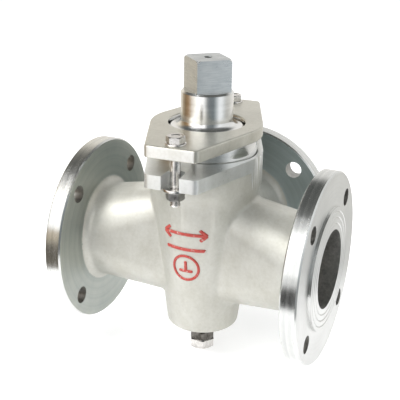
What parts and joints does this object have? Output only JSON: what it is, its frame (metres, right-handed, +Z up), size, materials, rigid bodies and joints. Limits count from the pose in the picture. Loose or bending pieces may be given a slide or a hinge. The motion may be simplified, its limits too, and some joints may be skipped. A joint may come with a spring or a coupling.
{
  "type": "three-way plug valve",
  "caption": "Flanged three-way plug valve: a tapered plug with a T-shaped passage turns in a cast body under a bolted packing gland, with a square stem end and a jack screw below.",
  "frame": {"origin": "centre of the branch port's mating face", "axes": "+Y out of the branch port, +X out of the right port and -X out of the left port of the run, +Z up the stem. The port axes and the stem's axis cross at (0, -0.135, 0)."},
  "size_m": [0.27, 0.2341, 0.314],
  "materials": {
    "cast_stainless": "satin cast stainless steel, turned on the flange rims and faces",
    "turned_stainless": "polished, fine turning marks",
    "fastener_steel": "bright stainless fasteners",
    "dark_nut_steel": "dull grey steel",
    "packing": "graphite and PTFE packing, matt"
  },
  "bodies": {
    "body": {"valve_body": "cast_stainless", "packing_seat_ring": "turned_stainless", "packing_ring_1": "packing", "packing_ring_2": "packing", "packing_ring_3": "packing", "packing_ring_4": "packing", "jack_seal_washer": "packing", "slot_washer_front": "fastener_steel", "slot_washer_rear": "fastener_steel"},
    "plug": {"tapered_plug": "turned_stainless"},
    "gland": {"gland_flange": "cast_stainless", "gland_bolt_front": "fastener_steel", "gland_bolt_rear": "fastener_steel", "gland_washer_front": "fastener_steel", "gland_washer_rear": "fastener_steel"},
    "nut_front": {"gland_nut_front": "fastener_steel"},
    "nut_rear": {"gland_nut_rear": "fastener_steel"},
    "jack_screw": {"jack_screw": "fastener_steel"},
    "jack_lock_nut": {"jack_lock_nut": "dark_nut_steel"}
  },
  "joints": [
    {"name": "plug_turn", "type": "hinge", "parent": "body", "child": "plug", "pos_m": [0, -0.135, 0], "axis": [0, 0, 1], "continuous": true},
    {"name": "gland_nut_front_spin", "type": "hinge", "parent": "body", "child": "nut_front", "pos_m": [0.00513, -0.21884, 0.085], "axis": [0, 0, -1], "range_deg": [0, 1080]},
    {"name": "gland_nut_rear_spin", "type": "hinge", "parent": "body", "child": "nut_rear", "pos_m": [-0.00513, -0.05116, 0.085], "axis": [0, 0, -1], "range_deg": [0, 1080]},
    {"name": "gland_lift", "type": "slide", "parent": "body", "child": "gland", "axis": [0, 0, 1], "range_m": [0, 0.0045]},
    {"name": "jack_screw_spin", "type": "hinge", "parent": "body", "child": "jack_screw", "pos_m": [0, -0.135, -0.11], "axis": [0, 0, 1], "range_deg": [0, 360]},
    {"name": "jack_lock_nut_spin", "type": "hinge", "parent": "body", "child": "jack_lock_nut", "pos_m": [0, -0.135, -0.101], "axis": [0, 0, -1], "range_deg": [0, 120]}
  ],
  "couplings": [
    {"joint": "gland_nut_front_spin", "follows": "gland_lift", "rad_per_m": 4188.8},
    {"joint": "gland_nut_rear_spin", "follows": "gland_lift", "rad_per_m": 4188.8}
  ]
}
